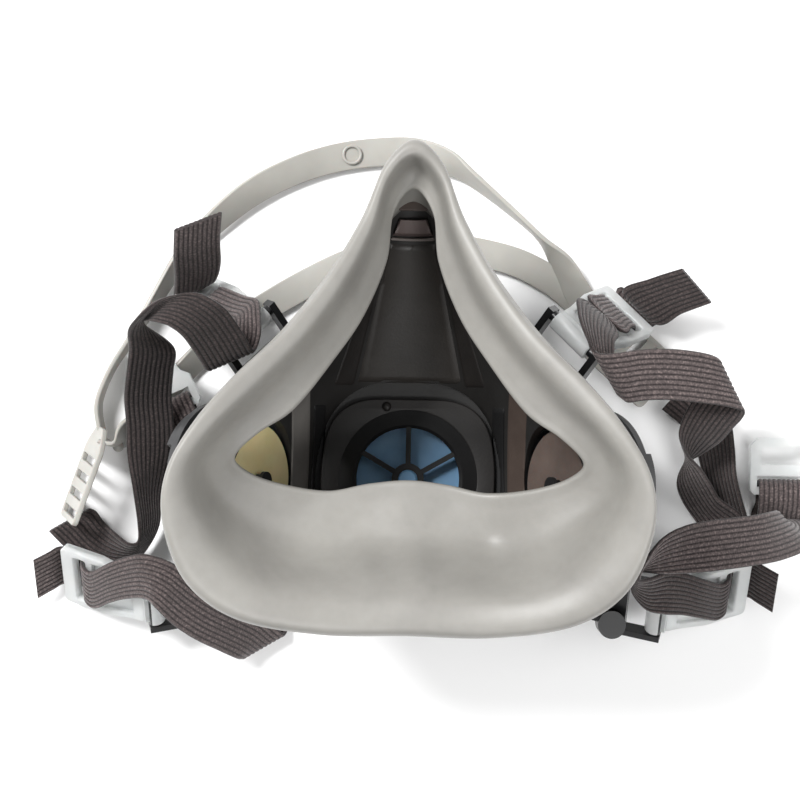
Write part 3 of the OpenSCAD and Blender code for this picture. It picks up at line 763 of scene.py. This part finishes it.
def buildPad(pad, wall):
    # a low pad with soft edges that follows the wall under it, found by looking down from above
    shape = padShape
    columns, rowCount = shape["columns"], shape["rows"]
    (y0, y1), (l0, l1), (r0, r1) = pad["y"], pad["left"], pad["right"]
    rows = []
    for j in range(rowCount + 1):
        v = j / rowCount
        y, left, right = y0 + (y1 - y0) * v, l0 + (l1 - l0) * v, r0 + (r1 - r0) * v
        top, under = [], []
        for i in range(columns + 1):
            x = left + (right - left) * i / columns
            hit = wall.ray_cast(Vector((x, y, shape["above"])) * mm, Vector((0, 0, -1)))[0]
            z = hit.z / mm if hit else 30
            inwards = min(x - left, right - x, y - y0, y1 - y)
            lift = pad["lift"] * smoothStep(-0.1, shape["edge"], inwards)
            top.append([x, y, z - shape["sunk"] + lift])
            under.append([x, y, z - shape["under"]])
        rows.append(top + under[::-1])
    bm = bmesh.new()
    made = gridMesh(bm, rows)
    closeEnds(bm, made)
    piece = finishMesh(pad["name"], bm, finishes[pad["finish"]], autoAngle=50)
    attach(piece, "mask")


def buildInside(wall):
    size = insideSize
    for pad in insidePads:
        buildPad(pad, wall)
    # a dark umber plate at the nose arch: painted shade where the seal's inner side lies in shade
    arch = plateMesh(
        "noseArchShade", [roundedOutline(size["arch"], 0.9)], 39.4, 40.4, 0.2, upright, finishes["shadedUmber"])
    floorZ = bodySize["frontZ"] + bodySize["wall"]
    outside = []
    for x, y, z in smoothRing(frontCurve, 120):
        share = 1 - size["frameIn"] / math.hypot(x, y)
        outside.append((x * share, y * share))
    frameRing = plateMesh(
        "archFrame", [outside, circle(size["frameHole"], 120)], floorZ - 0.2, floorZ + size["frameHigh"],
        0.4, upright, finishes["facet"])
    bm = bmesh.new()
    latheMesh(bm, size["peg"], placed(turned("Z", 0), size["pegAt"]), 24)
    peg = finishMesh("framePeg", bm, finishes["facet"], autoAngle=50)
    for piece in (arch, frameRing, peg):
        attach(piece, "mask")
    print("inside pads:", len(insidePads))


bars = {
    "upper": {"at": [-41.2, 38, 25], "turn": 45, "rise": -18, "lean": -52},
    "lower": {"at": [-65, -32.6, 16.5], "turn": 90, "rise": 35, "lean": -25.4},
}
slotPath = [
    [30.4, 1.9], [29.3, -1.2], [25.5, -2.5], [22.9, -2.3], [21.3, 0], [19.4, 2.5], [16.3, 3.3]]
platePath = [[11, 3.3], [5.5, 3.6], [0, 4.2]]
claspPlaces = {
    "hook": {"at": [-61.9, 15.7, 7.6], "turn": 25.5},
    "loop": {"at": [99.2, -2.6, 2], "turn": 0}}
claspPath = [
    [-7, -1.6], [-2, -1], [1.5, -.95], [3.3, .1], [3.5, 2], [2.2, 3.5],
    [-1.5, 3.7], [-4, 2.6], [-6, 1.2]]


def barPlace(bar):
    # from a buckle's own directions, its bar along X and its plate along Y, to the mask's left side
    spin = turned("Z", bar["turn"]) @ turned("Y", -bar["rise"]) @ turned("X", bar["lean"])
    return placed(spin, bar["at"])


def stationsOn(put, path):
    # stations of webbing threaded through a buckle or clasp: a point and the direction across
    across = Vector(put(1, 0, 0)) - Vector(put(0, 0, 0))
    return [put(0, y, z) + list(across) for y, z in path]


def onBuckle(bar, path):
    return stationsOn(barPlace(bar), path)


def onClasp(clasp):
    return stationsOn(placed(turned("Z", clasp["turn"]), clasp["at"]), claspPath)


def otherSide(stations, side):
    # the same stations on the right side; side sets which way their across direction points
    return [[-s[0], s[1], s[2], side * s[3], -side * s[4], -side * s[5]] for s in stations]


upperLeftRoute = (
    [[-53.5, 64, 33, .93, .37, 0], [-54.5, 58, 26, .92, .4, 0], [-55.2, 52.5, 17, .93, .37, 0],
     [-57, 48, 9, .85, .5, -.1]]
    + onBuckle(bars["upper"], slotPath + platePath)
    + [[-42.6, 37.6, 30.6, .75, .62, -.22], [-42.9, 33.8, 32.2, .87, .49, -.05],
     [-43.9, 30.6, 33, .91, .41, 0], [-44.8, 29.7, 34.4, .91, .41, 0], [-46, 31.6, 36.4, .91, .41, 0],
     [-48, 35, 39, .89, .46, 0], [-50.5, 38.5, 42, .87, .49, 0], [-53.6, 40.8, 44.2, .87, .5, .05],
     [-57, 42, 44.8, .8, .57, .2], [-60.5, 42, 43.6, .7, .5, .5], [-64, 41, 41, .45, .4, .8],
     [-66.4, 38.8, 37.4, .05, .14, .98], [-65.8, 35.8, 33, -.6, .1, .79], [-64.8, 32, 29, -.85, 0, .52],
     [-65.8, 27, 25, -.86, 0, .5], [-67, 20, 19.5, -.9, 0, .42], [-66.9, 12.5, 15, -.93, .07, .35],
     [-67.3, 5, 11.5, -.85, -.05, .5], [-68.2, -4.5, 9, -.45, .1, .88], [-67.8, -13, 7.9, -.3, .1, .94],
     [-69.5, -19, 7.6, 0, .25, .96], [-73, -21.2, 6.8, .1, .5, .85], [-78, -20.8, 5.4, .2, .85, .45],
     [-83, -18.6, 4, .45, .88, .1], [-87.2, -14.6, 3.4, .75, .66, 0], [-89.4, -12.8, 4, .85, .5, .1]])
lowerLeftRoute = (
    [[-97.3, -28.4, 7.5, 0, .84, .54]]
    + onBuckle(bars["lower"], slotPath)
    + [[-76, -27.8, 18.6, 0, .84, .54], [-71, -26, 22.6, 0, .88, .47], [-66, -25.3, 25.8, 0, .93, .36],
     [-61.2, -27.4, 26.2, .3, .94, .1], [-56.2, -32, 23, .5, .86, 0], [-51, -36, 19.4, .48, .88, 0],
     [-45.5, -39.4, 14.6, .45, .89, 0], [-40.8, -42.4, 9.4, .55, .84, 0], [-38.2, -44.7, 5.6, .8, .6, 0],
     [-37.3, -45.1, 3.8, .87, .49, 0], [-37.2, -43.2, 2.3, .95, .3, 0], [-37.2, -39.5, 1.5, 1, .1, 0],
     [-37.6, -33, 1.4, 1, .04, 0], [-38.8, -25, 1.4, .98, .2, 0], [-42, -15.5, 1.4, .93, .36, 0],
     [-46.8, -5.5, 1.6, .88, .47, 0]]
    + onClasp(claspPlaces["hook"]))
upperRightRoute = (
    [[73.5, 51.5, 17, -.66, .66, .3], [66.5, 49, 13, -.7, .68, .2], [60, 46, 8, -.72, .66, .1]]
    + otherSide(onBuckle(bars["upper"], slotPath + [[12, 3.4]]), 1)
    + [[47.9, 43.2, 21.8, -.7, .66, -.28], [46.6, 39.8, 27.4, -.72, .66, -.18],
     [46.9, 34.6, 31.4, -.64, .76, -.05],
     [48.2, 29.6, 32.2, -.56, .88, 0], [50, 27.4, 33.4, -.5, .9, 0], [53, 27.2, 34.6, -.25, .97, 0],
     [58, 28, 34.8, -.05, 1, 0], [65, 28.2, 34.6, 0, 1, 0], [72, 27.6, 34.4, -.08, 1, 0],
     [77, 26.8, 34, -.25, .98, 0], [79.9, 25.6, 32.9, -.5, .98, 0], [79.4, 23.2, 31, -.62, .85, 0],
     [77, 19.4, 28, -.78, .62, .1], [74.6, 14.8, 23.4, -.8, .5, .3], [72.6, 10.6, 18.6, -.62, .35, .7],
     [72.2, 6.8, 14, -.15, .2, .96], [73.4, 2.4, 10.6, .35, .3, .88], [76, -2.4, 8.2, .45, .4, .8],
     [79.6, -7.4, 7.2, .3, .6, .74], [83, -10.4, 6.6, .5, .6, .62], [85, -8.8, 6.4, .62, -.1, .77],
     [83.6, -3.4, 6.4, .6, -.1, .78], [82, 3, 6.4, .58, -.05, .8], [81, 9.5, 5.8, .66, .1, .74],
     [79.4, 15.6, 4.4, .8, .35, .4], [76, 20.4, 2.8, .8, .6, .1], [71.4, 24.2, 2.4, .66, .75, 0]])
lowerRightRoute = (
    [[97.3, -28.4, 7.5, 0, .84, .54]]
    + otherSide(onBuckle(bars["lower"], slotPath), -1)
    + [[76, -29, 18.2, 0, .84, .54], [71, -27.6, 21.8, 0, .88, .47], [66, -27, 24.8, 0, .9, .44],
     [61, -27, 27, 0, .7, .7], [57.6, -24.6, 29, 0, .3, .95], [58.8, -20, 31.5, 0, .3, .95],
     [63, -17, 32.8, 0, .75, .66], [68.5, -15.4, 32.8, 0, .95, .3], [75.5, -14.4, 31.5, -.05, 1, 0],
     [88, -13, 27, -.1, .99, 0], [94.5, -12, 22.5, -.3, .95, 0], [99.4, -11, 16.5, -.65, .76, 0],
     [101.6, -10.4, 9, -.9, .35, 0], [100.6, -9.4, 3.6, -1, .05, 0]]
    + onClasp(claspPlaces["loop"]))

webSize = {"width": 12.7, "thick": 1.15, "rib": 0.22, "perRib": 5, "spacing": 0.9, "edge": 0.45}


def evenStations(stations, spacing):
    # smooth the stations and space them evenly along the webbing
    fine = smoothList(stations, 24)
    lengths = [0]
    for a, b in zip(fine, fine[1:]):
        lengths.append(lengths[-1] + (Vector(b[:3]) - Vector(a[:3])).length)
    count = max(int(lengths[-1] / spacing), 8)
    out, k = [], 0
    for s in range(count + 1):
        want = lengths[-1] * s / count
        while k < len(lengths) - 2 and lengths[k + 1] < want:
            k += 1
        span = max(lengths[k + 1] - lengths[k], 1e-9)
        out.append(mixPoints(fine[k], fine[k + 1], (want - lengths[k]) / span))
    return out, lengths[-1]


def ribbonRows(stations, section, widen=None):
    # carry a flat cross-section of (across, up) points along the stations; widen gives its width at each
    rows = []
    last = len(stations) - 1
    for i, s in enumerate(stations):
        centre = Vector(s[:3])
        along = Vector(stations[min(i + 1, last)][:3]) - Vector(stations[max(i - 1, 0)][:3])
        across = Vector(s[3:])
        up = along.cross(across).normalized()
        wide = widen(i) if widen else 1
        shift = (wide - 1) * max(a for a, b in section)   # the lower edge stays where it is
        rows.append([list(centre + across * (a * wide + shift) + up * b) for a, b in section])
    return rows


def webSection():
    # upper side from one edge to the other, then the lower side back; ribs stand out on both
    size = webSize
    half, thick = size["width"] / 2, size["thick"] / 2
    count = webLook["ribs"] * size["perRib"]
    upper = []
    for k in range(count + 1):
        u = k / count
        swell = abs(math.sin(math.pi * u * webLook["ribs"])) ** 0.7
        edge = min(1, (0.5 - abs(u - 0.5)) * 22)
        rise = thick - size["rib"] + size["rib"] * swell
        upper.append(((u - 0.5) * 2 * half, rise * (size["edge"] + (1 - size["edge"]) * edge)))
    return upper + [(a, -b) for a, b in upper[::-1]]


def buildWebbing(name, node, route):
    stations, length = evenStations(route, webSize["spacing"])
    section = webSection()
    rows = ribbonRows(stations, section)
    count = len(section)
    half = count // 2
    step = length / (len(rows) - 1)

    def knitPlace(row, col):
        side = col % count
        u = side / (half - 1) if side < half else (count - 1 - side) / (half - 1)
        return (u, row * step)

    bm = bmesh.new()
    made = gridMesh(bm, rows, uvs=knitPlace)
    # faces of the lower side get the webbing with painted shade
    for k, face in enumerate(bm.faces):
        face.material_index = 1 if k % count >= half else 0
    closeEnds(bm, made)
    web = finishMesh(name, bm, finishes["web"], autoAngle=60)
    web.data.materials.append(finishes["webShadedBack"])
    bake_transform(web)
    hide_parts(node)
    print(name, "length", round(length), "mm,", len(web.data.vertices), "points")


upperBandRoute = [
    [-81, 10, 4, 0, 0, 1], [-82.2, 18, 4, 0, 0, 1], [-79, 27, 4, 0, 0, 1], [-73.5, 36, 4, -.05, .05, 1],
    [-67, 47, 4, -.2, .15, .97], [-60, 58.3, 4, -.35, .3, .89], [-51.5, 67.6, 3.6, -.5, .5, .7],
    [-42, 75.4, 3, -.5, .7, .5], [-31.5, 81, 2.1, -.35, .87, .3], [-21, 84.6, 1.3, -.2, .97, .1],
    [-10, 86.4, .9, -.08, 1, 0], [.5, 86.6, 1.2, .12, .99, .1], [8.8, 84, 2.8, .3, .75, .5],
    [15.8, 79.4, 3.9, .15, .25, .95], [27.5, 70, 4, .03, .03, 1], [34.5, 63.6, 4, .03, .03, 1],
    [40, 57, 3.1, .5, .5, .7], [45, 49, 1.1, .76, .65, 0], [50.5, 40.8, .8, .72, .69, 0]]
secondBandRoute = [
    [-80.6, 8.5, 4.2, 0, 0, 1], [-76.5, 7.2, 4, 0, .1, .99], [-71.5, 11.5, 3.9, -.45, .3, .84],
    [-65, 20.6, 3.5, -.5, .42, .75], [-58, 29, 3.1, -.55, .45, .68], [-51.5, 35.2, 2.2, -.55, .65, .35],
    [-42.5, 42, 1.4, -.55, .8, .15], [-29, 50.5, .9, -.5, .87, 0], [-15.5, 57.2, .8, -.35, .94, 0],
    [-2.5, 60.5, .8, -.12, .99, 0], [11, 61.2, .8, .08, 1, 0], [25.5, 58.6, .8, .25, .97, 0],
    [35, 54.5, .8, .45, .9, 0], [41.5, 50, .8, .65, .76, 0], [47.5, 44.5, .7, .68, .73, 0]]
cradleSize = {
    "band": 7.6, "thick": 1.2, "edge": 0.35, "tabLength": 23, "tabWidth": 16.4, "tabThick": 1.4,
    "slots": 4, "slotFrom": 5, "slotStep": 4.8, "slotWide": 2, "slotHalf": 6.75,
    "fan": 0.75}     # how much wider the lower band is where it leaves the tab


def bandSection():
    # a rounded rectangle
    half, thick, edge = cradleSize["band"] / 2, cradleSize["thick"] / 2, cradleSize["edge"]
    out = []
    for cx, cy, start in ((half - edge, thick - edge, 0), (edge - half, thick - edge, 90),
                          (edge - half, edge - thick, 180), (half - edge, edge - thick, 270)):
        for k in range(5):
            a = math.radians(start + 22.5 * k)
            out.append((cx + edge * math.cos(a), cy + edge * math.sin(a)))
    return out


def buildBand(name, route, fan=0.0):
    stations, length = evenStations(route, 1.2)
    step = length / (len(stations) - 1)
    bm = bmesh.new()
    closeEnds(bm, gridMesh(bm, ribbonRows(
        stations, bandSection(), lambda i: 1 + fan * (1 - smoothStep(4, 20, i * step)))))
    return finishMesh(name, bm, finishes["cradle"], autoAngle=50)


def tabOutlines():
    size = cradleSize
    half, length = size["tabWidth"] / 2, size["tabLength"]
    outer = [(-3, -3.6), (1, 1 - half), (3, -half), (length, -half),
             (length, half), (3, half), (1, half - 1), (-3, 3.6)]
    slots = []
    for i in range(size["slots"]):
        x, wide, reach = size["slotFrom"] + i * size["slotStep"], size["slotWide"], size["slotHalf"]
        slots.append(roundedOutline(
            [(x, -reach), (x + wide, -reach), (x + wide, reach), (x, reach)], 0.7))
    return [roundedOutline(outer, 1.8)] + slots


cradleTabs = [   # place of the tab's root, turn and tilt
    ("leftTab", (-81.4, 9, 8.1), -109, 67), ("rightTab", (50, 40.8, 0.75), -42, 0)]
cradleMarks = [   # a plain ring on the upper band and a stud where the lower band leaves the tab
    ("bandRing", (-16.4, 85.6, 1.2), [(1.9, 0), (2.7, 0), (2.7, 1), (2.5, 1.2), (2.1, 1.2), (1.9, 1)]),
    ("bandStud", (-76.3, 7, 7), [(0.02, 0), (1.5, 0), (1.4, 0.8), (0.8, 1.4), (0.02, 1.5)]),
]


def buildCradle():
    parts = [
        buildBand("upperBand", upperBandRoute),
        buildBand("secondBand", secondBandRoute, cradleSize["fan"])]
    half = cradleSize["tabThick"] / 2
    for name, at, turn, tilt in cradleTabs:
        place = placed(turned("Z", turn) @ turned("X", tilt), at)
        parts.append(plateMesh(name, tabOutlines(), -half, half, 0.3, place, finishes["cradle"]))
    for name, at, profile in cradleMarks:
        bm = bmesh.new()
        latheMesh(bm, profile, placed(turned("Z", 0), at), 32)
        parts.append(finishMesh(name, bm, finishes["cradle"], autoAngle=50))
    cradle = joined("headCradle", parts)
    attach(cradle, "mask")
    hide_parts("head_cradle")
    print("head cradle:", len(cradle.data.vertices), "points")


buckleSize = {
    "length": 27, "width": 18, "hingeWidth": 13.2, "thick": 2.2, "rim": 0.7, "rimWide": 2,
    "slotFrom": 19.4, "slotTo": 23.2, "slotHalf": 7.05, "bar": 1.5, "play": 0.06, "hook": 2.8,
    "hookOpens": 20, "hookCloses": 338, "hookSteps": 24, "hookEdge": 0.3}


def buckleOutline(inset=0.0):
    size = buckleSize
    hinge, half, end = size["hingeWidth"] / 2 - inset, size["width"] / 2 - inset, size["length"] - inset
    points = [(-hinge, 1.9 + inset * 1.6), (hinge, 1.9 + inset * 1.6), (hinge + 0.4, 6), (half, 15),
              (half, end), (-half, end), (-half, 15), (-hinge - 0.4, 6)]
    return roundedOutline(points, max(1.6 - inset * 0.5, 0.5))


def hookSection():
    # a C that snaps over the bar: its outer arc, then back along its inner arc
    size = buckleSize
    start, stop = math.radians(size["hookOpens"]), math.radians(size["hookCloses"])
    steps = size["hookSteps"]
    section = []
    for radius, a, b in ((size["hook"], start, stop), (size["bar"] + size["play"], stop, start)):
        for k in range(steps + 1):
            turn = a + (b - a) * k / steps + math.pi / 2
            section.append((radius * math.cos(turn), radius * math.sin(turn)))
    return section


def buildBuckle(name, node, body, bar, side):
    size = buckleSize
    put = mirroredX(barPlace(bar), side)
    t, reach = size["thick"] / 2, size["slotHalf"]
    slot = roundedOutline([(-reach, size["slotFrom"]), (reach, size["slotFrom"]),
                           (reach, size["slotTo"]), (-reach, size["slotTo"])], 0.8)
    floor = plateMesh("floor", [buckleOutline(), slot], -t, t - 0.5, 0.35, put, finishes["buckle"])
    window = [(x, min(max(y, 5.5), size["slotFrom"] - 2.2)) for x, y in buckleOutline(size["rimWide"])]
    rim = plateMesh("rim", [buckleOutline(), window, slot], -t + 0.1, t + size["rim"], 0.45, put,
                    finishes["buckle"])
    halfHook, edge = size["hingeWidth"] / 2 - 0.6, size["hookEdge"]
    rows = []
    for x in (-halfHook, -halfHook + edge, halfHook - edge, halfHook):
        outerShare = 1 if abs(x) < halfHook else 0.94   # the outer edges at both ends are eased
        shares = [outerShare if i <= size["hookSteps"] else 1 for i in range(2 * size["hookSteps"] + 2)]
        rows.append([put(x, y * share, z * share) for (y, z), share in zip(hookSection(), shares)])
    bm = bmesh.new()
    closeEnds(bm, gridMesh(bm, rows))
    hook = finishMesh("hook", bm, finishes["buckle"], autoAngle=50)
    buckle = joined(name, [floor, rim, hook])
    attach(buckle, body)
    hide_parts(node)
    print(name, len(buckle.data.vertices), "points")


stageLook = {"half": 3.0, "below": 0.0006, "dim": 0.93, "bright": 0.96, "sky": 0.44}   # metres and tones


def grey(tone):
    return (tone, tone, tone, 1)


def buildStage():
    look = stageLook
    half = look["half"]
    bm = bmesh.new()
    square = ((-half, -half), (half, -half), (half, half), (-half, half))
    bm.faces.new([bm.verts.new((x, y, -look["below"])) for x, y in square])
    paper = Finish("palePaper", 0.9)
    paper.colour(paper.ramp(paper.noise(3, 2), [(0.3, grey(look["dim"])), (0.7, grey(look["bright"]))]))
    finishMesh("tableTop", bm, paper.material)
    world = bpy.data.worlds.new("studio")
    world.use_nodes = True
    sky = world.node_tree.nodes["Background"]
    sky.inputs["Color"].default_value = grey(1)
    sky.inputs["Strength"].default_value = look["sky"]
    bpy.context.scene.world = world
    bpy.context.scene.view_settings.view_transform = "Standard"


lamps = {   # metres, watts
    "key": {"at": (-0.55, 0.45, 0.85), "aim": (0, 0.02, 0.05), "size": 0.38, "power": 17},
    "fill": {"at": (0.7, 0.1, 0.6), "aim": (0, 0.02, 0.05), "size": 0.7, "power": 2.5},
    "front": {"at": (0.28, -0.4, 0.85), "aim": (0, 0.02, 0.02), "size": 0.35, "power": 4},
}


def addLamp(name, lamp):
    data = bpy.data.lights.new(name, "AREA")
    data.shape = "DISK"
    data.size = lamp["size"]
    data.energy = lamp["power"]
    light = bpy.data.objects.new(name, data)
    light.location = lamp["at"]
    aim = Vector(lamp["aim"]) - Vector(lamp["at"])
    light.rotation_euler = aim.to_track_quat("-Z", "Y").to_euler()
    bpy.context.scene.collection.objects.link(light)


cameraSpot = {"at": (-2.4, 20.6, 482.0), "roll": 1.1, "lens": 81.2, "sensor": 36}


def placeCamera():
    data = bpy.data.cameras.new("camera")
    data.lens = cameraSpot["lens"]
    data.sensor_width = cameraSpot["sensor"]
    camera = bpy.data.objects.new("camera", data)
    camera.location = [c * mm for c in cameraSpot["at"]]
    camera.rotation_euler = (0, 0, math.radians(cameraSpot["roll"]))
    bpy.context.scene.collection.objects.link(camera)
    bpy.context.scene.camera = camera


placeCamera()
buildStage()
for name, lamp in lamps.items():
    addLamp(name, lamp)
print("camera, stage and lamps placed:", len(lamps), "lamps")

buildFaceSeal()
buildBody()
buildWebbing("upperStrapLeft", "upper_strap_left", upperLeftRoute)
buildWebbing("upperStrapRight", "upper_strap_right", upperRightRoute)
buildWebbing("lowerStrapLeft", "lower_strap_left", lowerLeftRoute)
buildWebbing("lowerStrapRight", "lower_strap_right", lowerRightRoute)
buildCradle()
for level in ("upper", "lower"):
    for word, side in (("left", -1), ("right", 1)):
        buildBuckle(level + word.capitalize() + "Buckle", f"buckle_{level}_{word}",
                    f"{level}_{word}_buckle", bars[level], side)
dress("exhalation_seat", "seat")
dress("exhalation_valve", "blue")
dress("exhalation_cover", "cover")
dress("front_yoke", "yoke")
# the right disc takes the cream rubber with painted shade
for word, disc in (("left", "cream"), ("right", "creamInShade")):
    dress("bayonet_" + word, "port")
    dress("inhalation_seat_" + word, "seat")
    dress("inhalation_valve_" + word, disc)
    dress("port_gasket_" + word, "gasket")
for word in ("hook", "loop"):
    dress("neck_clasp_" + word, "buckle")
print("valves, seats, yoke, ports and clasps dressed")
